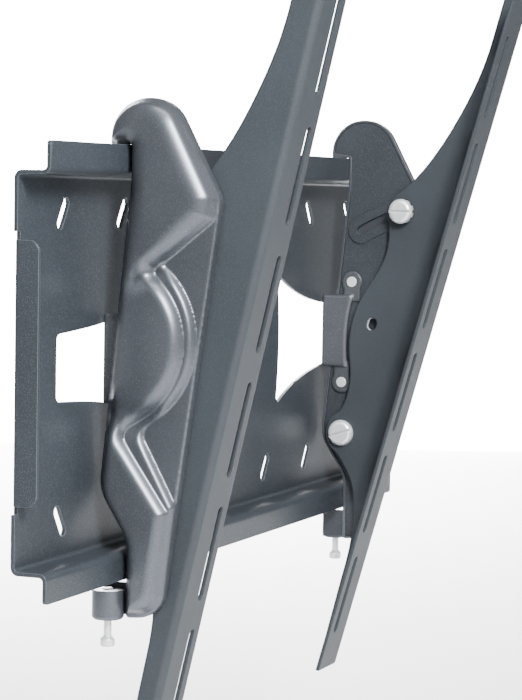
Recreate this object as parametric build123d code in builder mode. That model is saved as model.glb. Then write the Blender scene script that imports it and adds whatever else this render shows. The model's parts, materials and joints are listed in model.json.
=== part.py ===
from build123d import *
from math import atan2, cos, degrees, hypot, radians, sin
import os

# A tilting wall bracket for a flat television. A pressed steel wall plate has a lip along its top
# and bottom. Two brackets hook over the top lip and slide along it. Each carries an upright rail
# for the television, which tilts on two bolts that run in curved slots.
# Frame: X right along the wall, Y into the wall, Z up. The origin is on the wall, mid plate.
# Everything beside the wall plate is drawn for the right-hand bracket and mirrored for the left.

os.makedirs("parts", exist_ok=True)

# Wall plate
plate_sheet = 3.0
plate_width = 752.0
plate_height = 290.8
plate_depth = 28.8
top_lip = 21.0
bottom_lip = 19.2
plate_bend = 3.0
lip_corner = 3.0
flange_depth = 20.0
flange_step = 0.3
flange_bend = 1.0
flange_top = 95.5
flange_bottom = -95.5
flange_relief = 6.0
flange_corner = 8.0
cut_past = 10.0

# Slots for the screws into the wall, at timber stud spacings
lag_pitch = 101.6
lag_pitches_each_side = 3
lag_row_height = 114.3
lag_length = 27.0
lag_width = 9.5
lag_lean = 33.0

# Windows in the wall plate
window_inner = 124.5
window_bulge = 6.0
window_outer = 313.0
window_tall = 61.0
window_low = 25.0
window_corner = 4.9
# Two points of the window's flared edge: share of the way in, and share of the rise
window_flare = ((0.41, 0.15), (0.74, 0.47))

# The plate is exported in five regions, so that each stays simple. They part at lines that run
# through the windows: upright lines this far past the windows' inner edges, and level lines
# this many times as low as the windows' upper edges have come down there.
region_gap = 2.5
region_fall = 2.0

# Bracket plates, which hook over the top lip
bracket_face = 237.8
bracket_sheet = 3.0
lip_clearance = 0.3
slot_clearance = 0.5
hook_above_shelf = 2.6
hook_web = 12.0
hook_drop = 10.0
hook_mouth = 8.0
foot_cut_rise = 32.0
foot_cut_drop = 3.0

# Side covers, which wrap the edges of the bracket plates
cover_wall = 2.0
cover_fit = 0.3
cover_wrap = 4.0
cover_base = 4.5
cover_step = 6.0
cover_crown = 13.0
cover_step_inset = 6.0
step_round = 2.8
crown_round = 4.0
crown_steps = 3
cavity_wall = 2.5
cavity_inset = 10.0
cover_edge = 2.2
lip_notch = 4.0
lobe_radius = 32.0
lobe_y = -44.0
lobe_above_lip = 3.6
cover_top_reach = 19.3
cover_front_y = -103.5
cover_foot_y = -58.0
cover_back_y = -5.6

# Tilt: the rail turns about a line in front of it, and both of its bolts run in curved slots
pivot_y = -131.0
pivot_z = -50.5
tilt_limit = 15.7
tilt_left = 13.0
tilt_right = 15.7
bolt_radius = 4.0
bolt_slot_clearance = 0.2
bolt_hole_clearance = 0.05
tilt_pad_width = 24.5
tilt_pad_raise = 1.5
behind_plate_gap = 0.1

# Television rail, in its own frame: d forward of the lower bolt, s up the rail
rail_sheet = 3.0
rail_gap = 4.45
rail_front = 58.8
rail_flange = 50.0
rail_bend = 3.0
rail_bottom = -212.0
rail_top = 437.0
pivot_d = 87.4
pivot_s = 68.5
upper_bolt_d = -1.5
upper_bolt_s = 218.0
pull_hole_s = 108.0
pull_hole_width = 8.0
pull_hole_length = 11.0
tv_slot_line = 198.0
tv_slot_pitch = 100.0
tv_slot_first = -137.4
tv_slot_count = 6
tv_slot_length = 76.0
tv_slot_width = 8.8
# Free edge of the web as (d, s): from its top down to the upper bolt, on to the lower bolt,
# round the nose below it, and down to the foot. The first list counts s from the upper bolt.
stem_d = 35.0
stem_s = 172.0
neck_edge = ((31.2, 128.0), (23.3, 92.0), (10.2, 52.0), (-9.0, 17.0), (-15.9, 0.0))
waist_edge = (
    (-10.0, 198.0), (-6.2, 176.0), (-9.1, 156.0), (-17.0, 131.0), (-19.9, 104.0),
    (-16.4, 82.0), (-7.4, 56.0), (-4.7, 37.0), (-8.5, 18.0), (-15.4, 2.0),
)
nose_edge = ((-11.2, -12.0), (-1.0, -19.0))
tail_edge = ((9.5, -27.0), (21.0, -39.0), (31.5, -60.0), (38.6, -94.0), (40.6, -150.0))
hem_d = 42.0
web_blank = 24.0

# Bolts, knob, washers and nuts
washer_radius = 8.5
washer_clearance = 0.1
bolt_head_radius = 9.0
bolt_head_height = 4.0
knob_radius = 11.5
knob_height = 8.5
knob_collar_radius = 7.0
knob_collar = 4.0
knob_flutes = 10
knob_flute_radius = 1.5
screw_head_radius = 12.2
screw_head_height = 6.0
coin_slot_width = 2.4
coin_slot_depth = 2.4
nut_across = 13.0
nut_height = 6.5
nut_clearance_radius = 7.54
bolt_end = 1.5
bolt_in_knob = 5.5
bore_in_knob = 5.6
coin_slot_turn = 20.0
bolt_pocket_clearance = 0.8

# Grip strip on the inner face of the bracket plate
grip_thick = 3.8
ear_thick = 1.6
grip_top = 38.0
grip_bottom = -31.0
ear_radius = 10.0
grip_back_y = -5.0
grip_front_y = -31.5
grip_front_mid_y = -31.0
grip_corner_y = -36.5
grip_corner = 2.0
grip_edge_round = 3.2
ear_overlap = 6.0
rivet_radius = 4.75
rivet_shank_radius = 2.4
rivet_head = 1.0
rivet_upper_y = -34.2
rivet_upper_z = 50.2
rivet_lower_y = -25.5
rivet_lower_z = -45.2

# Lock screw in its cup at the foot of the bracket
cup_radius = 12.4
cup_height = 23.0
cup_below_lip = 30.4
cup_behind_lip = 8.4
cup_into_plate = 3.0
cup_round = 3.0
screw_radius = 3.0
screw_clearance = 0.05
screw_tip_radius = 4.3
screw_tip_height = 4.5
screw_tip_round = 1.4
screw_recess = 3.5
screw_recess_gap = 0.5
screw_foot_radius = 5.6
screw_foot_height = 8.0
screw_foot_gap = 13.0
screw_flare = 2.4

# Heights and faces that follow from the sizes above
half_width = plate_width / 2
half_height = plate_height / 2
region_width = window_inner + window_bulge + region_gap
flare_inward, flare_rise = window_flare[-1]
flare_fall = (1 - flare_rise) * (window_tall - window_low)
flare_run = (1 - flare_inward) * (window_outer - window_inner)
region_height = window_tall - region_fall * (region_width - window_inner) * flare_fall / flare_run
shelf_under = half_height - plate_sheet
lip_front = -plate_depth
lip_back = -plate_depth + plate_sheet
lip_top = half_height + top_lip
lip_bottom = -half_height - bottom_lip
flange_face = half_width - flange_step
bend_outer = plate_bend + plate_sheet
flange_bend_outer = flange_bend + plate_sheet
bracket_outer = bracket_face + bracket_sheet
cover_rim = bracket_outer - cover_wrap
cover_face = bracket_outer + cover_base
rail_outer = bracket_face - rail_gap
rail_inner = rail_outer - rail_sheet
pad_face = bracket_face - tilt_pad_raise
lobe_z = lip_top + lobe_above_lip
cup_bottom = lip_bottom - cup_below_lip
cup_top = cup_bottom + cup_height
cup_x = bracket_outer + cup_radius - cup_into_plate
cup_y = lip_back + cup_behind_lip


def side_plane(x):
    """Plane across X at x, with Y and Z as its own axes."""
    return Plane(origin=(x, 0, 0), x_dir=(0, 1, 0), z_dir=(1, 0, 0))


def rail_point(tilt, d, s):
    """Y and Z of a point of the rail, leaning forward by tilt degrees."""
    lean = radians(tilt)
    forward = d - pivot_d
    along = s - pivot_s
    y = pivot_y - forward * cos(lean) - along * sin(lean)
    z = pivot_z - forward * sin(lean) + along * cos(lean)
    return y, z


def rail_plane(x, tilt):
    """Plane across X at x, with d and s as its own axes; its normal points to the middle."""
    lean = radians(tilt)
    y, z = rail_point(tilt, 0, 0)
    return Plane(origin=(x, y, z), x_dir=(0, -cos(lean), -sin(lean)), z_dir=(-1, 0, 0))


def tilt_arc(d, s):
    """Path that the rail point (d, s) takes over the whole tilt, in Y and Z."""
    upright_y, upright_z = rail_point(0, d, s)
    radius = hypot(upright_y - pivot_y, upright_z - pivot_z)
    start = degrees(atan2(upright_z - pivot_z, upright_y - pivot_y))
    return CenterArc((pivot_y, pivot_z), radius, start, tilt_limit)


upper_arc = tilt_arc(upper_bolt_d, upper_bolt_s)
lower_arc = tilt_arc(0, 0)


def cover_outline():
    """Side outline of the cover, as corners with their rounding radii."""
    back_y = lobe_y + lobe_radius
    top_z = lobe_z + lobe_radius
    gap_y = lip_front - slot_clearance
    corners = [
        (back_y, lip_top + slot_clearance, 0.5),
        (back_y, top_z, lobe_radius - 0.5),
        (lobe_y - cover_top_reach, top_z, lobe_radius - 0.7),
        (cover_front_y, 0.8666 * half_height, 14.0),
        (cover_foot_y, cup_bottom + 3.0, 22.0),
        (gap_y, cup_bottom + 0.5, 3.0),
        (gap_y, -0.9216 * half_height, 32.0),
        (cover_back_y, -0.667 * half_height, 34.0),
        (gap_y, shelf_under - 2.0, 1.0),
        (gap_y, lip_top + slot_clearance, 0.5),
    ]
    points = [(y, z) for y, z, _ in corners]
    radii = [r for _, _, r in corners]
    return points, radii


cover_points, cover_radii = cover_outline()

# Wall plate: a folded sheet with windows and screw slots
with BuildPart() as wall_sheet:
    with BuildSketch(side_plane(0)):
        with BuildLine():
            FilletPolyline(
                (lip_front, lip_top),
                (lip_front, shelf_under),
                (-plate_sheet, shelf_under),
                (-plate_sheet, -shelf_under),
                (lip_front, -shelf_under),
                (lip_front, lip_bottom),
                radius=[bend_outer, plate_bend, plate_bend, bend_outer],
            )
            offset(amount=plate_sheet, side=Side.LEFT)
        make_face()
    extrude(amount=half_width, both=True)
    lip_edges = wall_sheet.edges().filter_by(Axis.Y).filter_by(
        lambda e: abs(abs(e.center().X) - half_width) < 0.01 and abs(e.center().Z) > half_height + 5
    )
    fillet(lip_edges, lip_corner)
    with BuildSketch(Plane.XZ):
        notch_mid = (flange_top + flange_bottom) / 2
        notch_height = flange_top - flange_bottom + 2 * flange_relief
        notch_width = flange_step + flange_bend_outer + cut_past
        with Locations(
            (half_width + cut_past - notch_width / 2, notch_mid),
            (-half_width - cut_past + notch_width / 2, notch_mid),
        ):
            Rectangle(notch_width, notch_height)
    extrude(amount=plate_depth, both=True, mode=Mode.SUBTRACT)
    flare = [(window_outer, window_low)]
    for inward, rise in window_flare:
        flare.append((
            window_outer - inward * (window_outer - window_inner),
            window_low + rise * (window_tall - window_low),
        ))
    flare.append((window_inner, window_tall))
    for side in (1, -1):
        with BuildSketch(Plane.XZ):
            with BuildLine():
                upper = Spline(*[(side * x, z) for x, z in flare])
                lower = Spline(*[(side * x, -z) for x, z in reversed(flare)])
                inner = ThreePointArc(
                    upper @ 1, (side * (window_inner + window_bulge), 0), lower @ 0
                )
                Line(lower @ 1, upper @ 0)
            make_face()
            fillet(vertices(), window_corner)
        extrude(amount=plate_sheet * 2, both=True, mode=Mode.SUBTRACT)
    for row in (1, -1):
        for step in range(-lag_pitches_each_side, lag_pitches_each_side + 1):
            lean_way = -1 if step * row > 0 else 1
            with BuildSketch(Plane.XZ):
                with Locations((step * lag_pitch, row * lag_row_height)):
                    SlotOverall(lag_length, lag_width, rotation=90 - lean_way * lag_lean)
            extrude(amount=plate_sheet * 2, both=True, mode=Mode.SUBTRACT)

# Flanges bent forward at the two ends of the plate
with BuildPart() as end_flanges:
    for side in (1, -1):
        with BuildSketch(Plane.XY.offset(flange_bottom)):
            with BuildLine():
                FilletPolyline(
                    (side * (flange_face - 2 * flange_bend_outer), 0),
                    (side * flange_face, 0),
                    (side * flange_face, -flange_depth),
                    radius=flange_bend_outer,
                )
                offset(amount=plate_sheet, side=Side.RIGHT if side > 0 else Side.LEFT)
            make_face()
        extrude(amount=flange_top - flange_bottom)
    flange_edges = end_flanges.edges().filter_by(Axis.X).filter_by(
        lambda e: abs(e.center().Y + flange_depth) < 0.01
    )
    fillet(flange_edges, flange_corner)
    Box(2 * (flange_face - flange_bend_outer), 4 * plate_depth, plate_height, mode=Mode.SUBTRACT)

# The plate's five regions, as the centre and the size of the box that each lies in. The flanges
# belong to the left and right regions.
region_reach = half_width + cut_past
side_width = region_reach - region_width
side_centre = region_width + side_width / 2
band_height = lip_top + cut_past - region_height
band_centre = region_height + band_height / 2
plate_regions = {
    "wall_plate_middle": ((0, 0, 0), (2 * region_width, 2 * region_height)),
    "wall_plate_top": ((0, 0, band_centre), (2 * region_reach, band_height)),
    "wall_plate_bottom": ((0, 0, -band_centre), (2 * region_reach, band_height)),
    "wall_plate_left": ((-side_centre, 0, 0), (side_width, 2 * region_height)),
    "wall_plate_right": ((side_centre, 0, 0), (side_width, 2 * region_height)),
}
left_flange, right_flange = end_flanges.solids().sort_by(Axis.X)
for name, (centre, (width, height)) in plate_regions.items():
    with BuildPart() as region:
        add(wall_sheet.part)
        with Locations(centre):
            Box(width, 4 * plate_depth, height, mode=Mode.INTERSECT)
        if name == "wall_plate_left":
            add(left_flange)
        if name == "wall_plate_right":
            add(right_flange)
    region.part.label = name
    export_step(region.part, f"parts/{name}.step")


def make_bracket_plate():
    """Flat steel plate with a hook for the top lip, two curved slots and a raised slot pad."""
    inset = cover_wall + cover_fit
    hook_y = lip_front - lip_clearance
    hook_top = lip_top + lip_clearance
    tongue_front = lip_back + slot_clearance
    tongue_back = lobe_y + lobe_radius - inset
    tongue_low = half_height + hook_above_shelf
    with BuildPart() as plate:
        with BuildSketch(side_plane(bracket_face)):
            with BuildLine():
                FilletPolyline(*cover_points, radius=cover_radii, close=True)
            make_face()
            offset(amount=-inset)
            with BuildLine():
                Polyline(
                    (hook_y - hook_web, shelf_under - hook_drop),
                    (hook_y, shelf_under - hook_drop),
                    (hook_y, hook_top),
                    (tongue_front, hook_top),
                    (tongue_front, tongue_low),
                    (tongue_back, tongue_low),
                    (tongue_back, hook_top + hook_mouth),
                    (hook_y - hook_web, hook_top + hook_mouth),
                    close=True,
                )
            make_face()
            with BuildLine():
                Polyline(
                    (hook_y - hook_web, lip_bottom + foot_cut_rise),
                    (hook_y, lip_bottom + foot_cut_rise),
                    (hook_y, lip_bottom - foot_cut_drop),
                    (cup_y + cup_radius - 4, lip_bottom - foot_cut_drop),
                    (cup_y + cup_radius - 4, cup_bottom + 1.5),
                    (hook_y - hook_web, cup_bottom + 4),
                    close=True,
                )
            make_face()
        extrude(amount=bracket_sheet)
        with BuildSketch(side_plane(bracket_face)):
            SlotArc(upper_arc, tilt_pad_width)
        extrude(amount=-tilt_pad_raise)
        with BuildSketch(side_plane(bracket_face)):
            SlotArc(upper_arc, 2 * (bolt_radius + bolt_slot_clearance))
            SlotArc(lower_arc, 2 * (bolt_radius + bolt_slot_clearance))
        extrude(amount=bracket_sheet + tilt_pad_raise, both=True, mode=Mode.SUBTRACT)
        with BuildSketch(side_plane(bracket_face)):
            with Locations((rivet_upper_y, rivet_upper_z), (rivet_lower_y, rivet_lower_z)):
                Circle(rivet_shank_radius)
        extrude(amount=bracket_sheet, mode=Mode.SUBTRACT)
    return plate.part


def raised_outline():
    """Corners of the cover's raised body, scalloped at the front round two low panels."""
    corners = [
        (-15.0, lobe_z - 1.5, 2.0),
        (-15.0, lobe_z + 29.5, 28.0),
        (-64.0, lobe_z + 29.5, 28.0),
        (-100.0, 0.873 * half_height, 9.0),
        (-97.5, 0.76 * half_height, 6.0),
        (-57.5, 0.533 * half_height, 5.0),
        (-90.0, 0.103 * half_height, 28.0),
        (-40.5, -0.389 * half_height, 9.0),
        (-70.5, -0.729 * half_height, 4.0),
        (-57.0, cup_bottom + 4.5, 20.0),
        (-33.5, cup_bottom + 4.5, 2.0),
        (-33.5, -0.9216 * half_height, 28.0),
        (-10.0, -0.667 * half_height, 30.0),
        (-31.5, 0.928 * half_height, 3.0),
        (-31.5, lobe_z - 1.5, 2.0),
    ]
    points = [(y, z) for y, z, _ in corners]
    radii = [r for _, _, r in corners]
    return points, radii


raised_points, raised_radii = raised_outline()


def make_side_cover():
    """Moulded cover: a rim round the bracket plate and a raised body in two terraces."""
    with BuildPart() as cover:
        with BuildSketch(side_plane(cover_rim)):
            with BuildLine():
                FilletPolyline(*cover_points, radius=cover_radii, close=True)
            make_face()
        extrude(amount=cover_face - cover_rim)
        front_rim = cover.faces().sort_by(Axis.X)[-1].edges().filter_by(
            lambda e: e.center().Y < lobe_y - 5 and e.center().Z > cup_bottom + 20
        )
        fillet(front_rim, cover_edge)
        terraces = ((0.0, cover_step, step_round), (cover_step_inset, cover_crown, crown_round))
        for terrace_inset, height, rounding in terraces:
            for step in range(crown_steps + 1):
                turn = radians(90 * step / crown_steps)
                inset = terrace_inset + rounding * (1 - cos(turn))
                with BuildSketch(side_plane(cover_face)):
                    with BuildLine():
                        FilletPolyline(*raised_points, radius=raised_radii, close=True)
                    make_face()
                    if inset > 0:
                        offset(amount=-inset)
                extrude(amount=height - rounding * (1 - sin(turn)))
        with BuildSketch(side_plane(bracket_outer + behind_plate_gap)):
            with BuildLine():
                FilletPolyline(*raised_points, radius=raised_radii, close=True)
            make_face()
            offset(amount=-cavity_inset)
        cavity_depth = cover_base + cover_crown - cavity_wall - behind_plate_gap
        extrude(amount=cavity_depth, mode=Mode.SUBTRACT)
        with BuildSketch(side_plane(bracket_outer - 1)):
            SlotArc(upper_arc, 2 * (bolt_head_radius + bolt_pocket_clearance))
        extrude(amount=1 + bolt_head_height + bolt_pocket_clearance, mode=Mode.SUBTRACT)
        with BuildSketch(side_plane(bracket_outer - 1)):
            SlotArc(lower_arc, 2 * (nut_clearance_radius + bolt_pocket_clearance))
        extrude(amount=1 + nut_height + bolt_end + bolt_pocket_clearance, mode=Mode.SUBTRACT)
        with BuildSketch(side_plane(cover_rim)):
            with BuildLine():
                FilletPolyline(*cover_points, radius=cover_radii, close=True)
            make_face()
            offset(amount=-cover_wall)
        extrude(amount=cover_wrap + 0.1, mode=Mode.SUBTRACT)
        with BuildSketch(side_plane(cover_rim)):
            with Locations((lip_front, (lip_top + shelf_under) / 2)):
                Rectangle(2 * lip_notch, lip_top - shelf_under + 6 * lip_notch)
            foot_notch_top = lip_bottom + foot_cut_rise + cover_fit
            with Locations((lip_front, (foot_notch_top + cup_bottom) / 2)):
                Rectangle(2 * lip_notch, foot_notch_top - cup_bottom + lip_notch)
            with Locations((lobe_y + lobe_radius - 2 * lip_notch, lip_top + lip_notch)):
                Rectangle(4 * lip_notch, 3 * lip_notch)
        extrude(amount=cover_wrap + 0.1, mode=Mode.SUBTRACT)
        with BuildSketch(side_plane(cover_rim - 1)):
            with Locations((lobe_y + 24.0, (grip_top + grip_bottom) / 2)):
                Rectangle(40.0, grip_top - grip_bottom + 2 * cover_fit)
        extrude(amount=bracket_face - cover_rim + 1 + cover_fit, mode=Mode.SUBTRACT)
        with BuildSketch(Plane.XY.offset(cup_bottom - 5)):
            with Locations((cup_x, cup_y)):
                Circle(cup_radius + cover_fit)
        extrude(amount=cup_top - cup_bottom + 8, mode=Mode.SUBTRACT)
    return cover.part


def make_tv_rail(tilt):
    """Upright steel angle: a slotted flange for the television and a scalloped web."""
    length = rail_top - rail_bottom
    flange_edge = rail_outer - rail_flange
    with BuildPart() as rail:
        foot_y, foot_z = rail_point(tilt, 0, rail_bottom)
        lean = radians(tilt)
        foot = Plane(
            origin=(0, foot_y, foot_z), x_dir=(1, 0, 0), z_dir=(0, -sin(lean), cos(lean))
        )
        with BuildSketch(foot):
            with BuildLine():
                FilletPolyline(
                    (rail_outer, web_blank),
                    (rail_outer, -rail_front),
                    (flange_edge, -rail_front),
                    radius=rail_bend + rail_sheet,
                )
                offset(amount=rail_sheet, side=Side.RIGHT)
            make_face()
        extrude(amount=length)
        with BuildSketch(rail_plane(rail_outer + 1, tilt)):
            with BuildLine():
                stem = Line((stem_d, rail_top + 1), (stem_d, upper_bolt_s + stem_s))
                neck_points = [(d, upper_bolt_s + s) for d, s in neck_edge]
                neck = Spline(stem @ 1, *neck_points, tangents=[(0, -1), (0, -1)])
                waist = Spline(neck @ 1, *waist_edge, tangents=[(0, -1), (0, -1)])
                nose = ThreePointArc(waist @ 1, *nose_edge)
                tail = Spline(nose @ 1, *tail_edge, tangents=[(0.85, -0.5), (0.02, -1)])
                hem = Line(tail @ 1, (hem_d, rail_bottom - 1))
                toe = Line(hem @ 1, (rail_front + 1, rail_bottom - 1))
                face = Line(toe @ 1, (rail_front + 1, rail_top + 1))
                Line(face @ 1, stem @ 0)
            make_face()
        extrude(amount=rail_flange + 2, mode=Mode.INTERSECT)
        with BuildSketch(rail_plane(rail_outer + 1, tilt)):
            hole = bolt_radius + bolt_hole_clearance
            with Locations((0, 0), (upper_bolt_d, upper_bolt_s)):
                Circle(hole)
            with Locations((0, pull_hole_s)):
                SlotOverall(pull_hole_length, pull_hole_width, rotation=90)
        extrude(amount=rail_sheet + 2, mode=Mode.SUBTRACT)
        face_y, face_z = rail_point(tilt, rail_front, 0)
        front = Plane(
            origin=(0, face_y, face_z), x_dir=(1, 0, 0), z_dir=(0, -cos(lean), -sin(lean))
        )
        with BuildSketch(front):
            for index in range(tv_slot_count):
                with Locations((tv_slot_line, tv_slot_first + index * tv_slot_pitch)):
                    SlotOverall(tv_slot_length, tv_slot_width, rotation=90)
        extrude(amount=-rail_sheet - 1, mode=Mode.SUBTRACT)
    return rail.part


def make_tilt_bolt(tilt):
    """Upper bolt: a low domed head behind the bracket plate and a shank out to the knob."""
    head_face = bracket_outer + behind_plate_gap
    with BuildPart() as bolt:
        y, z = rail_point(tilt, upper_bolt_d, upper_bolt_s)
        with BuildSketch(Plane(origin=(head_face, y, z), x_dir=(0, 1, 0), z_dir=(1, 0, 0))):
            Circle(bolt_head_radius)
        extrude(amount=bolt_head_height)
        fillet(bolt.faces().sort_by(Axis.X)[-1].edges(), bolt_head_height * 0.6)
        with BuildSketch(Plane(origin=(head_face, y, z), x_dir=(0, 1, 0), z_dir=(-1, 0, 0))):
            Circle(bolt_radius)
        extrude(amount=head_face - rail_inner + knob_collar + bolt_in_knob)
    return bolt.part


def make_washer(tilt, d, s, gap_face):
    """Flat washer between the rail and the bracket plate."""
    with BuildPart() as washer:
        y, z = rail_point(tilt, d, s)
        with BuildSketch(Plane(origin=(rail_outer, y, z), x_dir=(0, 1, 0), z_dir=(1, 0, 0))):
            Circle(washer_radius)
            Circle(bolt_radius + bolt_hole_clearance, mode=Mode.SUBTRACT)
        extrude(amount=gap_face - rail_outer - washer_clearance)
    return washer.part


def make_tilt_knob(tilt):
    """Turned knob on the upper bolt: collar, fluted skirt, domed top and a coin slot."""
    with BuildPart() as knob:
        y, z = rail_point(tilt, upper_bolt_d, upper_bolt_s)
        base = Plane(origin=(rail_inner, y, z), x_dir=(0, 1, 0), z_dir=(-1, 0, 0))
        with BuildSketch(base):
            Circle(knob_collar_radius)
        extrude(amount=knob_collar)
        with BuildSketch(base.offset(knob_collar)):
            Circle(knob_radius)
        extrude(amount=knob_height)
        fillet(knob.faces().sort_by(Axis.X)[0].edges(), knob_height * 0.55)
        with BuildSketch(base.offset(knob_collar)):
            with PolarLocations(knob_radius, knob_flutes):
                Circle(knob_flute_radius)
        extrude(amount=knob_height * 0.45, mode=Mode.SUBTRACT)
        with BuildSketch(base.offset(knob_collar + knob_height - coin_slot_depth)):
            Rectangle(2 * knob_radius + 1, coin_slot_width)
        extrude(amount=coin_slot_depth + 1, mode=Mode.SUBTRACT)
        with BuildSketch(base):
            Circle(bolt_radius + bolt_hole_clearance)
        extrude(amount=knob_collar + bore_in_knob, mode=Mode.SUBTRACT)
    return knob.part


def make_lower_bolt(tilt):
    """Lower bolt: a domed head with a coin slot on the rail's inner face, and its shank."""
    with BuildPart() as bolt:
        y, z = rail_point(tilt, 0, 0)
        base = Plane(origin=(rail_inner, y, z), x_dir=(0, 1, 0), z_dir=(-1, 0, 0))
        with BuildSketch(base):
            Circle(screw_head_radius)
        extrude(amount=screw_head_height)
        fillet(bolt.faces().sort_by(Axis.X)[0].edges(), screw_head_height * 0.75)
        with BuildSketch(base.offset(screw_head_height - coin_slot_depth)):
            Rectangle(2 * screw_head_radius + 1, coin_slot_width, rotation=coin_slot_turn)
        extrude(amount=coin_slot_depth + 1, mode=Mode.SUBTRACT)
        with BuildSketch(Plane(origin=(rail_inner, y, z), x_dir=(0, 1, 0), z_dir=(1, 0, 0))):
            Circle(bolt_radius)
        extrude(amount=bracket_outer + behind_plate_gap + nut_height + bolt_end - rail_inner)
    return bolt.part


def make_lower_nut(tilt):
    """Hexagon nut on the lower bolt, behind the bracket plate."""
    with BuildPart() as nut:
        y, z = rail_point(tilt, 0, 0)
        nut_plane = Plane(
            origin=(bracket_outer + behind_plate_gap, y, z), x_dir=(0, 1, 0), z_dir=(1, 0, 0)
        )
        with BuildSketch(nut_plane):
            RegularPolygon(nut_across / 2, 6, major_radius=False)
            Circle(bolt_radius + bolt_hole_clearance, mode=Mode.SUBTRACT)
        extrude(amount=nut_height)
    return nut.part


def make_grip():
    """Finger grip: a broad thick strip with a thin ear at each end for its rivets."""
    with BuildPart() as grip:
        with BuildSketch(side_plane(bracket_face)):
            with BuildLine():
                back = Line((grip_back_y, grip_bottom), (grip_back_y, grip_top))
                top = Line(back @ 1, (grip_corner_y, grip_top))
                front_mid = (grip_front_mid_y, 0.75 * grip_bottom / 2 + 0.55 * grip_top)
                front = ThreePointArc(top @ 1, front_mid, (grip_front_y, grip_bottom))
                Line(front @ 1, back @ 0)
            make_face()
            fillet(vertices(), grip_corner)
        extrude(amount=-grip_thick)
        inner_face = grip.faces().sort_by(Axis.X)[0]
        fillet(inner_face.edges().sort_by(Axis.Y)[0], grip_edge_round)
        with BuildSketch(side_plane(bracket_face)):
            for y, z, toward in (
                (rivet_upper_y, rivet_upper_z, grip_top - ear_overlap),
                (rivet_lower_y, rivet_lower_z, grip_bottom + ear_overlap),
            ):
                with Locations((y, z)):
                    Circle(ear_radius)
                with Locations((y, (z + toward) / 2)):
                    Rectangle(2 * ear_radius * 0.8, abs(z - toward))
        extrude(amount=-ear_thick)
        with BuildSketch(side_plane(bracket_face)):
            with Locations((rivet_upper_y, rivet_upper_z), (rivet_lower_y, rivet_lower_z)):
                Circle(rivet_shank_radius)
        extrude(amount=-grip_thick, mode=Mode.SUBTRACT)
    return grip.part


def make_grip_rivets():
    """Two domed rivets that hold the grip."""
    with BuildPart() as rivets:
        for y, z in ((rivet_upper_y, rivet_upper_z), (rivet_lower_y, rivet_lower_z)):
            head = Plane(
                origin=(bracket_face - ear_thick, y, z), x_dir=(0, 1, 0), z_dir=(-1, 0, 0)
            )
            with BuildSketch(head):
                Circle(rivet_radius)
            extrude(amount=rivet_head)
            with BuildSketch(head):
                Circle(rivet_shank_radius)
            extrude(amount=-ear_thick - bracket_sheet)
    return rivets.part


def make_lock_cup():
    """Cup at the foot of the bracket plate, threaded for the lock screw."""
    with BuildPart() as cup:
        with BuildSketch(Plane.XY.offset(cup_bottom)):
            with Locations((cup_x, cup_y)):
                Circle(cup_radius)
            with Locations((bracket_outer - cup_radius, cup_y)):
                Rectangle(2 * cup_radius, 4 * cup_radius, mode=Mode.SUBTRACT)
        extrude(amount=cup_top - cup_bottom)
        fillet(cup.faces().sort_by(Axis.Z)[0].edges().filter_by(GeomType.CIRCLE), cup_round)
        with BuildSketch(Plane.XY.offset(cup_top - screw_recess)):
            with Locations((cup_x, cup_y)):
                Circle(screw_tip_radius + screw_recess_gap)
        extrude(amount=screw_tip_height, mode=Mode.SUBTRACT)
        with BuildSketch(Plane.XY.offset(cup_bottom - 1)):
            with Locations((cup_x, cup_y)):
                Circle(screw_radius + screw_clearance)
        extrude(amount=cup_top - cup_bottom + 2, mode=Mode.SUBTRACT)
    return cup.part


def make_lock_screw():
    """Vertical thumb screw: tip behind the bottom lip, flared foot below the cup."""
    tip_low = cup_top - screw_recess + behind_plate_gap
    foot_top = cup_bottom - screw_foot_gap
    with BuildPart() as screw:
        with BuildSketch(Plane.XY.offset(foot_top)):
            with Locations((cup_x, cup_y)):
                Circle(screw_radius)
        extrude(amount=tip_low - foot_top + 1)
        with BuildSketch(Plane.XY.offset(tip_low)):
            with Locations((cup_x, cup_y)):
                Circle(screw_tip_radius)
        extrude(amount=screw_tip_height)
        fillet(screw.faces().sort_by(Axis.Z)[-1].edges(), screw_tip_round)
        with BuildSketch(Plane.XY.offset(foot_top - screw_foot_height)):
            with Locations((cup_x, cup_y)):
                Circle(screw_foot_radius)
        extrude(amount=screw_foot_height)
        chamfer(screw.edges().filter_by(GeomType.CIRCLE).group_by(Axis.Z)[0], 1.0)
        flare = screw.edges().filter_by(GeomType.CIRCLE).filter_by(
            lambda e: abs(e.center().Z - foot_top) < 0.01 and e.radius > screw_foot_radius - 0.1
        )
        chamfer(flare, screw_flare)
    return screw.part


for side, tilt in (("left", tilt_left), ("right", tilt_right)):
    pieces = {
        "bracket_plate": make_bracket_plate(),
        "side_cover": make_side_cover(),
        "tv_rail": make_tv_rail(tilt),
        "tilt_bolt": make_tilt_bolt(tilt),
        "tilt_knob": make_tilt_knob(tilt),
        "tilt_washer": make_washer(tilt, upper_bolt_d, upper_bolt_s, pad_face),
        "lower_bolt": make_lower_bolt(tilt),
        "lower_nut": make_lower_nut(tilt),
        "lower_washer": make_washer(tilt, 0, 0, bracket_face),
        "grip": make_grip(),
        "grip_rivets": make_grip_rivets(),
        "lock_cup": make_lock_cup(),
        "lock_screw": make_lock_screw(),
    }
    for name, piece in pieces.items():
        if side == "left":
            piece = piece.mirror(Plane.YZ)
        piece.label = f"{name}_{side}"
        export_step(piece, f"parts/{name}_{side}.step")
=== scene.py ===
# %% [markdown]
# # A tilting wall bracket for a television
# The bracket is a folded steel wall plate, two brackets that hook over its top lip, and two
# slotted rails that lean forward on them. The model that carries the sizes is loaded first.
# Everything in this lesson is in metres and in that model's own frame: X runs right along the
# wall, Y runs into the wall, and Z is up.

# %% Load the model
import json
import math

import bmesh
import bpy
import numpy as np
from mathutils import Matrix, Vector


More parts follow.
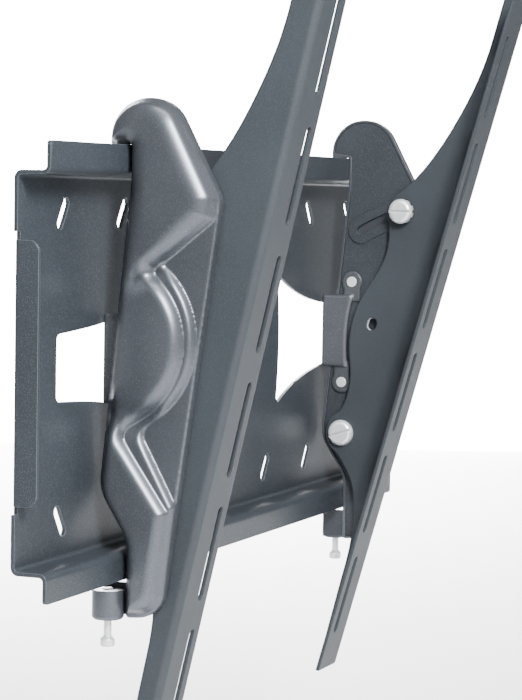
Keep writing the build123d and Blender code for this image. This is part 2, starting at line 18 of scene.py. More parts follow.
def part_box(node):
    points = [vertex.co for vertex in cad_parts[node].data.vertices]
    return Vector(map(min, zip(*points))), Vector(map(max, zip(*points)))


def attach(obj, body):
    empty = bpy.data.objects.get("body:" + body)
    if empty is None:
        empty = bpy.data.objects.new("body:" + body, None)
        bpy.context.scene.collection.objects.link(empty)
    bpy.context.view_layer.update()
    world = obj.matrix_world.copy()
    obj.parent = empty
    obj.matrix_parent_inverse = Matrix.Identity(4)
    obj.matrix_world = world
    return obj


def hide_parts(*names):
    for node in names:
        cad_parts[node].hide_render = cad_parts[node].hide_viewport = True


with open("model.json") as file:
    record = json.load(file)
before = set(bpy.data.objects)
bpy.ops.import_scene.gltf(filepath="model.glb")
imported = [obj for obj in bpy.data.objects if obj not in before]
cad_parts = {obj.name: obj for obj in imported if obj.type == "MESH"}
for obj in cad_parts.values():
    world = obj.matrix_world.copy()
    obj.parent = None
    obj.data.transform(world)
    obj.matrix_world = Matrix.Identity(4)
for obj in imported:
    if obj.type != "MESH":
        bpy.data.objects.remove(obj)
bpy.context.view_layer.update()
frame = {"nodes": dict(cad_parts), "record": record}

# %% [markdown]
# ## The camera
# A product photographer would stand to the left of the bracket with a long lens, so that the
# two rails stay nearly parallel. The place and the aim were worked out from the straight edges
# of the plate. The aim is given as yaw, pitch and roll, and turned into a rotation matrix here,
# because that keeps each of the three angles readable.

# %% Place the camera
CAMERA_PLACE = Vector((-1.8769, -0.7996, 0.1293))
CAMERA_YAW = math.radians(-67.929)
CAMERA_PITCH = math.radians(-3.698)
CAMERA_ROLL = math.radians(0.978)
CAMERA_LENS_MM = 122.3


def aim_matrix(yaw, pitch, roll):
    """Rotation of a camera that looks along +Y at yaw 0, turned to the right by a negative yaw."""
    ahead = Vector((-math.sin(yaw) * math.cos(pitch), math.cos(yaw) * math.cos(pitch), math.sin(pitch)))
    right = Vector((math.cos(yaw), math.sin(yaw), 0))
    up = right.cross(ahead)
    rolled_right = right * math.cos(roll) + up * math.sin(roll)
    rolled_up = up * math.cos(roll) - right * math.sin(roll)
    return Matrix((rolled_right, rolled_up, -ahead)).transposed()


camera_data = bpy.data.cameras.new("camera")
camera_data.lens = CAMERA_LENS_MM
camera_data.clip_end = 50
camera = bpy.data.objects.new("camera", camera_data)
bpy.context.scene.collection.objects.link(camera)
camera.matrix_world = Matrix.Translation(CAMERA_PLACE) @ aim_matrix(
    CAMERA_YAW, CAMERA_PITCH, CAMERA_ROLL
).to_4x4()
bpy.context.scene.camera = camera
print("camera at", tuple(round(v, 3) for v in CAMERA_PLACE))

# %% [markdown]
# ## Light
# The bracket is dark and satin, so its form is drawn by what it reflects. A soft key lamp in
# front and to the left gives the long highlights on the covers. A smaller one in front and to
# the right throws each bracket's shadow on the plate, and one overhead lights the top lip. The
# last hangs behind the bracket, above the floor, and keeps the floor pale. Area lamps were
# chosen over a sun, because their width sets how soft a highlight looks.

# %% Light the object
# Each lamp's place, the point that it looks at, its width and height, and its power
LAMPS = {
    "key lamp": ((-1.25, -1.1, 1.0), (0, -0.1, 0.1), 0.4, 0.6, 95.0),
    "front lamp": ((0.7, -1.9, 1.3), (-0.1, -0.1, 0.2), 0.3, 0.3, 7.0),
    "top lamp": ((-0.7, -0.4, 1.7), (0, -0.1, 0), 1.2, 0.6, 18.0),
    "floor lamp": ((2.1, 1.4, 1.4), (2.3, 1.9, -0.5), 1.4, 1.4, 260.0),
}
ROOM_COLOUR = (0.93, 0.94, 0.96, 1)
ROOM_STRENGTH = 0.40


def add_lamp(name, place, target, width, height, power):
    """Soft rectangular lamp at a place that looks at a target."""
    data = bpy.data.lights.new(name, "AREA")
    data.shape = "RECTANGLE"
    data.size = width
    data.size_y = height
    data.energy = power
    lamp = bpy.data.objects.new(name, data)
    bpy.context.scene.collection.objects.link(lamp)
    lamp.location = place
    lamp.rotation_euler = (Vector(target) - Vector(place)).to_track_quat("-Z", "Y").to_euler()
    return lamp


for lamp_name, settings in LAMPS.items():
    add_lamp(lamp_name, *settings)

room = bpy.data.worlds.new("room")
room.use_nodes = True
room.node_tree.nodes["Background"].inputs["Color"].default_value = ROOM_COLOUR
room.node_tree.nodes["Background"].inputs["Strength"].default_value = ROOM_STRENGTH
bpy.context.scene.world = room
print("lamps:", ", ".join(LAMPS))

# %% [markdown]
# ## Shared effects
# Powder coat, moulded plastic and zinc all need two things: edges that are slightly rounded, as
# no real edge is sharp, and a fine grain. Each is a node group with its own inputs, so one
# effect serves every finish. The soft edge comes from a Bevel node, which rounds only the
# shading. It suits folded sheet, because the mesh keeps its true size. The same group gives a
# mask of the rounded strip, where a pale painted highlight goes into the colour. A third group
# keeps that painted highlight only on folds that turn to the front, because the cut edges of the
# coated sheet stay dark.

# %% Build the node groups
# A speckle shows where the noise passes from the first value to the second
SPECKLE_RANGE = (0.56, 0.72)
# A fold counts as turned to the front as its normal's Y passes from the first to the second
FRONT_RANGE = (-0.1, -0.35)
DRIFT_SCALE = 14.0
BEVEL_SAMPLES = 6


def new_group(name, inputs, outputs):
    """Empty node group with named inputs and outputs."""
    group = bpy.data.node_groups.new(name, "ShaderNodeTree")
    for socket_name, kind, value in inputs:
        socket = group.interface.new_socket(socket_name, in_out="INPUT", socket_type=kind)
        socket.default_value = value
    for socket_name, kind in outputs:
        group.interface.new_socket(socket_name, in_out="OUTPUT", socket_type=kind)
    entry = group.nodes.new("NodeGroupInput")
    leave = group.nodes.new("NodeGroupOutput")
    return group, entry, leave


def add_node(tree, kind, **settings):
    """New node with some of its settings and input values filled in."""
    node = tree.nodes.new(kind)
    for key, value in settings.items():
        if hasattr(node, key):
            setattr(node, key, value)
        else:
            node.inputs[key.replace("_", " ")].default_value = value
    return node


def build_soft_edge():
    """Group: the distance an edge is rounded in, a normal out, and a mask of the rounded strip."""
    group, entry, leave = new_group(
        "soft edge",
        [("Radius", "NodeSocketFloat", 0.0006), ("Sharpness", "NodeSocketFloat", 6.0)],
        [("Normal", "NodeSocketVector"), ("Edge", "NodeSocketFloat")],
    )
    links = group.links
    bevel = add_node(group, "ShaderNodeBevel", samples=BEVEL_SAMPLES)
    flat = add_node(group, "ShaderNodeNewGeometry")
    dot = add_node(group, "ShaderNodeVectorMath", operation="DOT_PRODUCT")
    lost = add_node(group, "ShaderNodeMath", operation="SUBTRACT")
    lost.inputs[0].default_value = 1.0
    gain = add_node(group, "ShaderNodeMath", operation="MULTIPLY", use_clamp=True)
    links.new(entry.outputs["Radius"], bevel.inputs["Radius"])
    links.new(bevel.outputs["Normal"], dot.inputs[0])
    links.new(flat.outputs["Normal"], dot.inputs[1])
    links.new(dot.outputs["Value"], lost.inputs[1])
    links.new(lost.outputs["Value"], gain.inputs[0])
    links.new(entry.outputs["Sharpness"], gain.inputs[1])
    links.new(bevel.outputs["Normal"], leave.inputs["Normal"])
    links.new(gain.outputs["Value"], leave.inputs["Edge"])
    return group


def build_grain():
    """Group: fine grain of a coat or a moulding, as a height, a speckle mask and a slow drift."""
    group, entry, leave = new_group(
        "fine grain",
        [("Scale", "NodeSocketFloat", 900.0), ("Speckle Scale", "NodeSocketFloat", 1600.0)],
        [("Height", "NodeSocketFloat"), ("Speckle", "NodeSocketFloat"), ("Drift", "NodeSocketFloat")],
    )
    links = group.links
    place = add_node(group, "ShaderNodeTexCoord")
    fine = add_node(group, "ShaderNodeTexNoise", Detail=2.0, Roughness=0.55)
    speck = add_node(group, "ShaderNodeTexNoise", Detail=1.0, Roughness=0.5)
    slow = add_node(group, "ShaderNodeTexNoise", Scale=DRIFT_SCALE, Detail=3.0, Roughness=0.5)
    peaks = add_node(group, "ShaderNodeMapRange")
    peaks.inputs["From Min"].default_value = SPECKLE_RANGE[0]
    peaks.inputs["From Max"].default_value = SPECKLE_RANGE[1]
    for node in (fine, speck, slow):
        links.new(place.outputs["Object"], node.inputs["Vector"])
    links.new(entry.outputs["Scale"], fine.inputs["Scale"])
    links.new(entry.outputs["Speckle Scale"], speck.inputs["Scale"])
    links.new(speck.outputs["Fac"], peaks.inputs["Value"])
    links.new(fine.outputs["Fac"], leave.inputs["Height"])
    links.new(peaks.outputs["Result"], leave.inputs["Speckle"])
    links.new(slow.outputs["Fac"], leave.inputs["Drift"])
    return group


def build_front_fold():
    """Group: keeps the painted edge highlight only where it turns to the front, between two distances
    across.
    """
    group, entry, leave = new_group(
        "front fold highlight",
        [("Normal", "NodeSocketVector", (0, 0, 0)), ("Edge", "NodeSocketFloat", 0.0),
         ("Reach", "NodeSocketFloat", 0.0), ("Limit", "NodeSocketFloat", 1.0)],
        [("Fold", "NodeSocketFloat")],
    )
    links = group.links
    turned = add_node(group, "ShaderNodeSeparateXYZ")
    place = add_node(group, "ShaderNodeTexCoord")
    across = add_node(group, "ShaderNodeSeparateXYZ")
    outward = add_node(group, "ShaderNodeMath", operation="ABSOLUTE")
    far_out = add_node(group, "ShaderNodeMath", operation="GREATER_THAN")
    not_past = add_node(group, "ShaderNodeMath", operation="LESS_THAN")
    between = add_node(group, "ShaderNodeMath", operation="MULTIPLY")
    front = add_node(group, "ShaderNodeMapRange")
    front.inputs["From Min"].default_value = FRONT_RANGE[0]
    front.inputs["From Max"].default_value = FRONT_RANGE[1]
    both = add_node(group, "ShaderNodeMath", operation="MULTIPLY")
    kept = add_node(group, "ShaderNodeMath", operation="MULTIPLY")
    links.new(entry.outputs["Normal"], turned.inputs["Vector"])
    links.new(turned.outputs["Y"], front.inputs["Value"])
    links.new(place.outputs["Object"], across.inputs["Vector"])
    links.new(across.outputs["X"], outward.inputs[0])
    links.new(outward.outputs["Value"], far_out.inputs[0])
    links.new(entry.outputs["Reach"], far_out.inputs[1])
    links.new(outward.outputs["Value"], not_past.inputs[0])
    links.new(entry.outputs["Limit"], not_past.inputs[1])
    links.new(far_out.outputs["Value"], between.inputs[0])
    links.new(not_past.outputs["Value"], between.inputs[1])
    links.new(between.outputs["Value"], both.inputs[0])
    links.new(front.outputs["Result"], both.inputs[1])
    links.new(both.outputs["Value"], kept.inputs[0])
    links.new(entry.outputs["Edge"], kept.inputs[1])
    links.new(kept.outputs["Value"], leave.inputs["Fold"])
    return group


soft_edge = build_soft_edge()
fine_grain = build_grain()
fold_highlight_group = build_front_fold()
print("groups:", ", ".join((soft_edge.name, fine_grain.name, fold_highlight_group.name)))

# %% [markdown]
# ## Finishes
# Six finishes cover the whole object. The wall plate, the brackets and the rails have a dark
# blue-grey powder coat. The covers, the grips and the cups are smoother and paler. The bolts
# and rivets are zinc plated. One recipe makes them all, with the amounts of grain, sparkle and
# a painted edge highlight as its values. The edge colour is that painted highlight: a paler
# colour on the rounded edges, or only on the front folds of the rails and grips.

# %% Mix the finishes
# The edge colour of each finish is a painted highlight on its rounded edges; fold, where given, keeps it
# only on front-facing folds between two distances out from the middle
FINISHES = {
    "plate_coat": dict(
        colour=(0.028, 0.034, 0.041), sparkle=(0.075, 0.083, 0.095), rough=0.40, metal=0.2, shine=0.35,
        grain=1500.0, bump=0.00005, edge=(0.15, 0.16, 0.18), radius=0.0007, coat=0.15,
    ),
    "bracket_coat": dict(
        colour=(0.029, 0.034, 0.040), sparkle=(0.06, 0.067, 0.078), rough=0.44, metal=0.2, shine=0.35,
        grain=1500.0, bump=0.00005, edge=(0.035, 0.04, 0.045), radius=0.0006, coat=0.1,
    ),
    # The rails' pale edge colour is a painted highlight, kept only on their front folds
    "rail_coat": dict(
        colour=(0.034, 0.040, 0.046), sparkle=(0.058, 0.064, 0.072), rough=0.42, metal=0.05, shine=0.12,
        grain=2600.0, bump=0.00005, edge=(0.55, 0.56, 0.60), radius=0.0026, coat=0.0, fold=(0.226, 1.0),
    ),
    "cover_grey": dict(
        colour=(0.098, 0.108, 0.124), sparkle=(0.17, 0.18, 0.20), rough=0.36, metal=0.75, shine=0.5,
        grain=1800.0, bump=0.00003, edge=(0.20, 0.21, 0.23), radius=0.0004, coat=0.1,
    ),
    # The grips' pale edge colour is a painted highlight, kept only on their front fillets
    "grip_grey": dict(
        colour=(0.07, 0.077, 0.087), sparkle=(0.12, 0.13, 0.14), rough=0.30, metal=0.45, shine=0.5,
        grain=1600.0, bump=0.00003, edge=(0.60, 0.61, 0.64), radius=0.0034, coat=0.1, fold=(0.0, 0.2355),
    ),
    "zinc": dict(
        colour=(0.84, 0.85, 0.87), sparkle=(0.90, 0.90, 0.92), rough=0.30, metal=0.5, shine=0.5,
        grain=700.0, bump=0.00004, edge=(0.95, 0.95, 0.97), radius=0.0012, coat=0.0,
    ),
}
SPECKLE_SHARE = 0.8
# Colour and roughness drift slowly between these shares of their values
COLOUR_DRIFT = (0.86, 1.22)
ROUGH_DRIFT = (0.88, 1.16)
COAT_ROUGHNESS = 0.25


def mix_colour(tree, factor, first, second):
    """Mix node of two colours, either of which may be a value or another node's output."""
    mix = add_node(tree, "ShaderNodeMix", data_type="RGBA")
    tree.links.new(factor, mix.inputs["Factor"])
    for socket, value in ((mix.inputs[6], first), (mix.inputs[7], second)):
        if isinstance(value, bpy.types.NodeSocket):
            tree.links.new(value, socket)
        else:
            socket.default_value = (*value, 1)
    return mix.outputs[2]


def make_finish(
    name, colour, sparkle, rough, metal, shine, grain, bump, edge, radius, coat, fold=None
):
    """Coated or plated surface with grain, speckle and soft edges, with a painted highlight on its edges
    all round or only at its folds.
    """
    material = bpy.data.materials.new(name)
    material.use_nodes = True
    tree = material.node_tree
    shader = tree.nodes["Principled BSDF"]
    edge_node = add_node(tree, "ShaderNodeGroup", node_tree=soft_edge)
    edge_node.inputs["Radius"].default_value = radius
    grain_node = add_node(tree, "ShaderNodeGroup", node_tree=fine_grain)
    grain_node.inputs["Scale"].default_value = grain
    grain_node.inputs["Speckle Scale"].default_value = grain * SPECKLE_SHARE
    darker, lighter = (tuple(c * share for c in colour) for share in COLOUR_DRIFT)
    base = mix_colour(tree, grain_node.outputs["Drift"], darker, lighter)
    speckled = mix_colour(tree, grain_node.outputs["Speckle"], base, sparkle)
    # Where the edges are rounded, the edge colour is mixed in as a painted highlight
    edge_highlight_mask = edge_node.outputs["Edge"]
    if fold:
        fold_highlight_node = add_node(tree, "ShaderNodeGroup", node_tree=fold_highlight_group)
        fold_highlight_node.inputs["Reach"].default_value = fold[0]
        fold_highlight_node.inputs["Limit"].default_value = fold[1]
        tree.links.new(edge_node.outputs["Normal"], fold_highlight_node.inputs["Normal"])
        tree.links.new(edge_highlight_mask, fold_highlight_node.inputs["Edge"])
        edge_highlight_mask = fold_highlight_node.outputs["Fold"]
    highlighted_colour = mix_colour(tree, edge_highlight_mask, speckled, edge)
    tree.links.new(highlighted_colour, shader.inputs["Base Color"])
    rough_range = add_node(tree, "ShaderNodeMapRange")
    rough_range.inputs["To Min"].default_value = rough * ROUGH_DRIFT[0]
    rough_range.inputs["To Max"].default_value = rough * ROUGH_DRIFT[1]
    tree.links.new(grain_node.outputs["Drift"], rough_range.inputs["Value"])
    tree.links.new(rough_range.outputs["Result"], shader.inputs["Roughness"])
    bump_node = add_node(tree, "ShaderNodeBump", Distance=bump, Strength=1.0)
    tree.links.new(grain_node.outputs["Height"], bump_node.inputs["Height"])
    tree.links.new(edge_node.outputs["Normal"], bump_node.inputs["Normal"])
    tree.links.new(bump_node.outputs["Normal"], shader.inputs["Normal"])
    shader.inputs["Metallic"].default_value = metal
    shader.inputs["Specular IOR Level"].default_value = shine
    shader.inputs["Coat Weight"].default_value = coat
    shader.inputs["Coat Roughness"].default_value = COAT_ROUGHNESS
    return material


finishes = {name: make_finish(name, **values) for name, values in FINISHES.items()}
node_slots = {entry["node"]: entry["material_slot"] for entry in frame["record"]["subparts"]}
for node_name, piece in frame["nodes"].items():
    piece.data.materials.clear()
    piece.data.materials.append(finishes[node_slots[node_name]])
print("finishes:", ", ".join(finishes))

# %% [markdown]
# ## The side covers
# Each cover is one moulding that clips round its bracket. Its face has a raised body in two
# terraces, cut back at the front round two low panels, so two soft bright ridges run down it
# with a dark crease between them. Modelling that by hand would take many loops of faces.
# Instead, the cover is treated as a relief: a fine grid over its side outline, with the height
# of each point worked out from its distance to the outline of each terrace.

# %% Draw rounded outlines
MM = 0.001


def rounded_outline(corners, step=1.0):
    """Closed outline through corners (y, z, radius), with each corner turned into an arc."""
    points = []
    count = len(corners)
    for index, (y, z, radius) in enumerate(corners):
        here = Vector((y, z))
        before = (Vector(corners[index - 1][:2]) - here).normalized()
        after = (Vector(corners[(index + 1) % count][:2]) - here).normalized()
        turn = math.pi - before.angle(after)
        reach = radius * math.tan(turn / 2)
        start = here + before * reach
        middle = (before + after).normalized()
        centre = here + middle * (radius / math.cos(turn / 2))
        steps = max(2, int(radius * turn / step))
        first = start - centre
        last = here + after * reach - centre
        for k in range(steps + 1):
            left = math.sin((1 - k / steps) * turn) / math.sin(turn)
            right = math.sin(k / steps * turn) / math.sin(turn)
            points.append(centre + first * left + last * right)
    return np.array([(p.x, p.y) for p in points])


def distance_inside(points, outline):
    """Distance of each point from the outline, positive inside it and negative outside."""
    start = outline
    end = np.roll(outline, -1, axis=0)
    run = end - start
    offset = points[:, None, :] - start[None, :, :]
    share = np.clip((offset * run).sum(2) / np.maximum((run * run).sum(1), 1e-12), 0, 1)
    gap = offset - share[..., None] * run[None]
    nearest = np.sqrt((gap * gap).sum(2)).min(1)
    py, pz = points[:, 0:1], points[:, 1:2]
    spans = (start[None, :, 1] > pz) != (end[None, :, 1] > pz)
    rise = np.where(np.abs(run[:, 1]) < 1e-12, 1e-12, run[:, 1])
    crossing = start[None, :, 0] + (pz - start[None, :, 1]) * (run[:, 0] / rise)[None]
    inside = (spans & (py < crossing)).sum(1) % 2 == 1
    return np.where(inside, nearest, -nearest)


COVER_OUTLINE = [
    (-12.0, 166.9, 0.6), (-12.0, 202.0, 31.0), (-63.3, 202.0, 31.0), (-103.5, 126.0, 14.0),
    (-58.0, -192.0, 22.0), (-29.3, -194.5, 3.0), (-29.3, -134.0, 32.0), (-5.6, -97.0, 34.0),
    (-29.3, 140.4, 1.0), (-29.3, 166.9, 0.6),
]
LOWER_TERRACE = [
    (-13.0, 168.0, 2.0), (-13.0, 201.0, 30.0), (-63.6, 201.0, 30.0), (-101.8, 127.0, 11.0),
    (-99.0, 110.5, 6.0), (-57.5, 77.0, 2.5), (-129.5, 17.0, 72.0), (-40.5, -50.5, 9.0),
    (-71.5, -106.5, 4.0), (-57.5, -190.0, 20.0), (-31.0, -191.0, 2.0), (-31.0, -134.0, 30.0),
    (-7.4, -97.0, 32.0), (-30.5, 135.0, 3.0), (-30.5, 168.0, 2.0),
]
UPPER_TERRACE = [
    (-15.0, 167.0, 4.0), (-15.0, 199.0, 28.0), (-62.9, 199.0, 28.0), (-98.6, 128.0, 11.0),
    (-96.5, 112.5, 6.0), (-49.0, 71.5, 4.0), (-121.5, 14.0, 64.0), (-25.5, -52.0, 8.0),
    (-67.0, -110.5, 4.0), (-55.6, -188.0, 19.0), (-33.5, -188.5, 4.0), (-33.5, -136.0, 28.0),
    (-10.5, -98.5, 30.0), (-32.5, 132.0, 4.0), (-32.5, 167.0, 4.0),
]
cover_edge = rounded_outline(COVER_OUTLINE)
lower_edge = rounded_outline(LOWER_TERRACE)
upper_edge = rounded_outline(UPPER_TERRACE)
print("cover outline", len(cover_edge), "points")

# %% [markdown]
# The relief itself is a few smooth steps added together. Each terrace rises steeply from its
# outline and rounds over at the top, which is how a moulded shoulder looks. Soft valleys part
# the body into three pillows, and the middle one swells a little. At the outline, the height
# falls away in a quarter circle.

# %% Raise the relief
COVER_RIM = 236.8
COVER_FACE = 245.3
LOWER_RISE = 6.0
UPPER_RISE = 7.5
LOWER_WIDTH = 6.0
UPPER_WIDTH_TOP = 17.0
UPPER_WIDTH_BELOW = 10.0
WIDTH_CHANGE = (70.0, 105.0)
FRONT_ROUND = 1.8
# Valleys: the two ends of each as (y, z), its half width and its depth
VALLEYS = [
    ((-60.0, 75.0), (-40.0, 66.0), 9.0, 4.0),
    ((-52.0, -42.0), (-6.0, -36.0), 13.0, 7.0),
]
SWELL_PLACE = (-47.0, 14.0)
SWELL_SIZE = (22.0, 40.0)
SWELL_HEIGHT = 2.0
SHOULDER_POWER = 2.5
VALLEY_FADE = 8.0
SWELL_FADE = 14.0


def shoulder(distance, width):
    """0 outside an outline, rising steeply and rounding over to 1 at width inside it."""
    share = np.clip(distance / width, 0, 1)
    return 1 - (1 - share) ** SHOULDER_POWER


def distance_to_run(points, start, end):
    """Distance of each point from the straight run between two points."""
    start, end = np.array(start), np.array(end)
    run = end - start
    share = np.clip(((points - start) @ run) / (run @ run), 0, 1)
    return np.linalg.norm(points - start - share[:, None] * run, axis=1)


def cover_height(points):
    """Height of the cover's face over its base plane, in millimetres."""
    edge = distance_inside(points, cover_edge)
    lower = distance_inside(points, lower_edge)
    upper = distance_inside(points, upper_edge)
    above = np.clip((points[:, 1] - WIDTH_CHANGE[0]) / (WIDTH_CHANGE[1] - WIDTH_CHANGE[0]), 0, 1)
    upper_width = UPPER_WIDTH_BELOW + (UPPER_WIDTH_TOP - UPPER_WIDTH_BELOW) * above
    height = LOWER_RISE * shoulder(lower, LOWER_WIDTH) + UPPER_RISE * shoulder(upper, upper_width)
    for start, end, half_width, depth in VALLEYS:
        share = distance_to_run(points, start, end) / half_width
        height = height - depth * np.exp(-share ** 2) * shoulder(lower, VALLEY_FADE)
    swell = ((points - SWELL_PLACE) / SWELL_SIZE) ** 2
    height = height + SWELL_HEIGHT * np.exp(-swell.sum(1)) * shoulder(upper, SWELL_FADE)
    near = np.clip(edge / FRONT_ROUND, 0, 1)
    return height - FRONT_ROUND * (1 - np.sqrt(1 - (1 - near) ** 2))


def snap_to_outline(points, outline):
    """Nearest point of the outline for each point."""
    run = np.roll(outline, -1, axis=0) - outline
    offset = points[:, None, :] - outline[None]
    share = np.clip((offset * run).sum(2) / np.maximum((run * run).sum(1), 1e-12), 0, 1)
    foot = outline[None] + share[..., None] * run[None]
    gap = ((points[:, None, :] - foot) ** 2).sum(2)
    return foot[np.arange(len(points)), gap.argmin(1)]


GRID_STEP = 1.0


def cover_mesh(name, side):
    """Closed relief mesh of one cover; side is 1 on the right and -1 on the left."""
    low = cover_edge.min(0) - GRID_STEP
    high = cover_edge.max(0) + GRID_STEP
    ys = np.arange(low[0], high[0] + GRID_STEP, GRID_STEP)
    zs = np.arange(low[1], high[1] + GRID_STEP, GRID_STEP)
    grid_y, grid_z = np.meshgrid(ys, zs, indexing="ij")
    points = np.stack([grid_y.ravel(), grid_z.ravel()], 1)
    depth = distance_inside(points, cover_edge)
    rows = len(zs)
    index = np.arange(len(points)).reshape(len(ys), rows)
    quads = np.stack([index[:-1, :-1], index[1:, :-1], index[1:, 1:], index[:-1, 1:]], -1).reshape(-1, 4)
    quads = quads[(depth[quads] > 0).any(1)]
    outside = np.unique(quads[depth[quads] <= 0])
    points[outside] = snap_to_outline(points[outside], cover_edge)
    used = np.unique(quads)
    new_index = np.full(len(points), -1)
    new_index[used] = np.arange(len(used))
    flat = points[used]
    heights = cover_height(flat)
    mesh = bmesh.new()
    verts = [
        mesh.verts.new((side * (COVER_FACE + h) * MM, y * MM, z * MM))
        for (y, z), h in zip(flat, heights)
    ]
    for quad in quads:
        corner = [verts[new_index[i]] for i in quad]
        if side < 0:
            corner.reverse()
        mesh.faces.new(corner)
    bmesh.ops.dissolve_degenerate(mesh, dist=1e-7, edges=mesh.edges)
    border = [e for e in mesh.edges if e.is_boundary]
    skirt = bmesh.ops.extrude_edge_only(mesh, edges=border)["geom"]
    for vert in (g for g in skirt if isinstance(g, bmesh.types.BMVert)):
        vert.co.x = side * COVER_RIM * MM
    rim = [e for e in mesh.edges if e.is_boundary]
    bmesh.ops.contextual_create(mesh, geom=rim)
    bmesh.ops.recalc_face_normals(mesh, faces=mesh.faces)
    data = bpy.data.meshes.new(name)
    mesh.to_mesh(data)
    mesh.free()
    piece = bpy.data.objects.new(name, data)
    bpy.context.scene.collection.objects.link(piece)
    return piece


def apply_modifiers(piece):
    """Turns a piece's modifiers into its mesh."""
    bpy.context.view_layer.update()
    graph = bpy.context.evaluated_depsgraph_get()
    data = bpy.data.meshes.new_from_object(piece.evaluated_get(graph))
    piece.modifiers.clear()
    piece.data = data


def cutter(name, build):
    """Helper object for a cut, made by a function that fills a bmesh."""
    mesh = bmesh.new()
    build(mesh)
    data = bpy.data.meshes.new(name)
    mesh.to_mesh(data)
    mesh.free()
    piece = bpy.data.objects.new(name, data)
    bpy.context.scene.collection.objects.link(piece)
    return piece


def cut_away(piece, tool):
    """Cuts the tool's shape out of the piece, and deletes the tool."""
    change = piece.modifiers.new("cut", "BOOLEAN")
    change.operation = "DIFFERENCE"
    change.solver = "EXACT"
    change.object = tool
    apply_modifiers(piece)
    bpy.data.objects.remove(tool, do_unlink=True)


# %% [markdown]
# The back of the cover is open for the bracket plate, and its foot is hollowed round the lock
# cup. Both are cut with a Boolean from a plain helper shape, because the cup's hollow runs at
# a right angle to the relief and can't be part of it.

# %% Cut and place the covers
POCKET_WALL = 2.0
POCKET_DEPTH = 241.0
POCKET_PAST = 5.0
CUP_GAP = 0.5
CUP_ABOVE = 3.0
CUP_PAST = 0.02
CUP_STEPS = 64
COVER_SHARP = math.radians(38)


def inset_outline(outline, amount):
    """Outline moved inwards by amount, point by point."""
    ahead = np.roll(outline, -1, axis=0) - np.roll(outline, 1, axis=0)
    ahead /= np.maximum(np.linalg.norm(ahead, axis=1, keepdims=True), 1e-9)
    normal = np.stack([-ahead[:, 1], ahead[:, 0]], 1)
    trial = outline + normal * amount
    if distance_inside(trial, outline).mean() < 0:
        trial = outline - normal * amount
    return trial[distance_inside(trial, outline) > amount * 0.98]


def pocket_tool(side):
    """Slab that hollows the back of a cover for its bracket plate."""
    def build(mesh):
        ring = inset_outline(cover_edge, POCKET_WALL)
        face = mesh.faces.new([
            mesh.verts.new((side * (COVER_RIM - POCKET_PAST) * MM, y * MM, z * MM)) for y, z in ring
        ])
        body = bmesh.ops.extrude_face_region(mesh, geom=[face])["geom"]
        for vert in (g for g in body if isinstance(g, bmesh.types.BMVert)):
            vert.co.x = side * POCKET_DEPTH * MM
        bmesh.ops.recalc_face_normals(mesh, faces=mesh.faces)
    return cutter("pocket tool", build)


def cup_tool(side):
    """Upright cylinder that hollows the foot of a cover round its lock cup."""
    low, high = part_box("lock_cup_right")
    radius = (high.y - low.y) / 2 + CUP_GAP * MM
    centre = Vector((side * (high.x - (high.y - low.y) / 2), (low.y + high.y) / 2, low.z))
    top = high.z + CUP_ABOVE * MM

    def build(mesh):
        bmesh.ops.create_cone(
            mesh, cap_ends=True, segments=CUP_STEPS, radius1=radius, radius2=radius,
            depth=top - low.z + CUP_PAST,
            matrix=Matrix.Translation((centre.x, centre.y, (top + low.z - CUP_PAST) / 2)),
        )
    return cutter("cup tool", build)


for side_name, side in (("left", -1), ("right", 1)):
    cover = cover_mesh(f"side_cover_{side_name}_relief", side)
    cut_away(cover, pocket_tool(side))
    cut_away(cover, cup_tool(side))
    cover.data.polygons.foreach_set("use_smooth", [True] * len(cover.data.polygons))
    cover.data.set_sharp_from_angle(angle=COVER_SHARP)
    cover.data.materials.clear()
    cover.data.materials.append(finishes["cover_grey"])
    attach(cover, f"bracket_{side_name}")
    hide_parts(f"side_cover_{side_name}")
    print(cover.name, len(cover.data.polygons), "faces")

# %% [markdown]
# ## The wall plate
# The plate is a single sheet of steel, but the model keeps it as five regions so that each of
# them stays simple. Here they are joined with a Boolean union, which takes away the faces where
# they touch, and so the soft edge effect finds no seam between them. The large flat faces then
# decide the shading at their corners, which keeps them free of false gradients.

# %% Join the wall plate
PLATE_SHARP = math.radians(30)

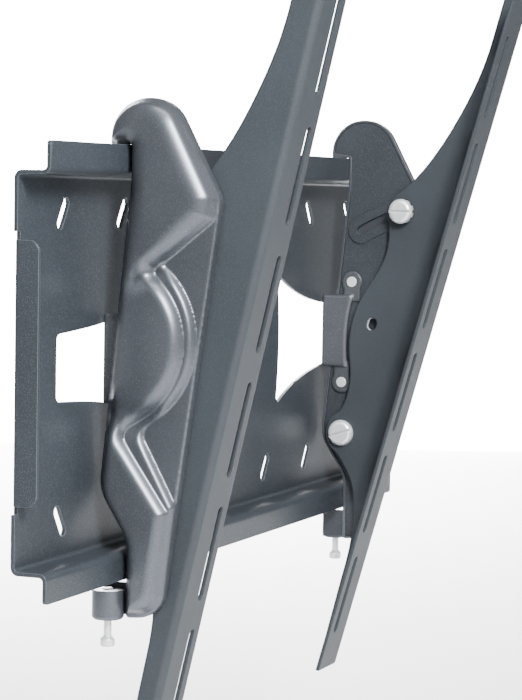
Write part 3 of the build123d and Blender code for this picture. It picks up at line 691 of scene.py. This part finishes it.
plate_names = sorted(name for name in frame["nodes"] if name.startswith("wall_plate"))
plate_mesh = bpy.data.meshes.new("wall plate sheet")
plate = bpy.data.objects.new("wall_plate_sheet", plate_mesh)
bpy.context.scene.collection.objects.link(plate)
plate.data = frame["nodes"][plate_names[0]].data.copy()
plate.matrix_world = frame["nodes"][plate_names[0]].matrix_world
for name in plate_names[1:]:
    join = plate.modifiers.new("join", "BOOLEAN")
    join.operation = "UNION"
    join.solver = "EXACT"
    join.object = frame["nodes"][name]
    apply_modifiers(plate)
plate.data.polygons.foreach_set("use_smooth", [True] * len(plate.data.polygons))
plate.data.set_sharp_from_angle(angle=PLATE_SHARP)
weigh = plate.modifiers.new("weigh", "WEIGHTED_NORMAL")
weigh.keep_sharp = True
apply_modifiers(plate)
plate.data.materials.clear()
plate.data.materials.append(finishes["plate_coat"])
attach(plate, "wall")
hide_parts(*plate_names)
print(plate.name, len(plate.data.polygons), "faces from", len(plate_names), "regions")

# %% [markdown]
# ## The floor and the backdrop
# A plain pale floor catches the light. Far behind the bracket stands a glowing white backdrop,
# as product photographers use, so that the dark steel reads clearly against it. Both belong to
# the studio, not to the bracket.

# %% Lay the floor and stand the backdrop
FLOOR_HEIGHT = -0.46
FLOOR_SIZE = 16.0
FLOOR_COLOUR = (0.93, 0.93, 0.94, 1)
FLOOR_ROUGHNESS = 0.6
BACKDROP_PLACE = (3.2, 1.5, 0.64)
BACKDROP_SIZE = 2.2
BACKDROP_COLOUR = (0.9, 0.9, 0.9, 1)
BACKDROP_GLOW = 12.0

bpy.ops.mesh.primitive_plane_add(size=FLOOR_SIZE, location=(0, 0, FLOOR_HEIGHT))
floor = bpy.context.object
floor.name = "floor"
pale = bpy.data.materials.new("pale floor")
pale.use_nodes = True
pale_shader = pale.node_tree.nodes["Principled BSDF"]
pale_shader.inputs["Base Color"].default_value = FLOOR_COLOUR
pale_shader.inputs["Roughness"].default_value = FLOOR_ROUGHNESS
floor.data.materials.append(pale)

bpy.ops.mesh.primitive_plane_add(size=BACKDROP_SIZE, location=BACKDROP_PLACE)
backdrop = bpy.context.object
backdrop.name = "backdrop"
backdrop.rotation_euler = (math.pi / 2, 0, CAMERA_YAW)
glow = bpy.data.materials.new("glowing backdrop")
glow.use_nodes = True
glow_shader = glow.node_tree.nodes["Principled BSDF"]
glow_shader.inputs["Base Color"].default_value = BACKDROP_COLOUR
glow_shader.inputs["Emission Color"].default_value = (1, 1, 1, 1)
glow_shader.inputs["Emission Strength"].default_value = BACKDROP_GLOW
backdrop.data.materials.append(glow)
print("floor at", FLOOR_HEIGHT, "and backdrop at", BACKDROP_PLACE)
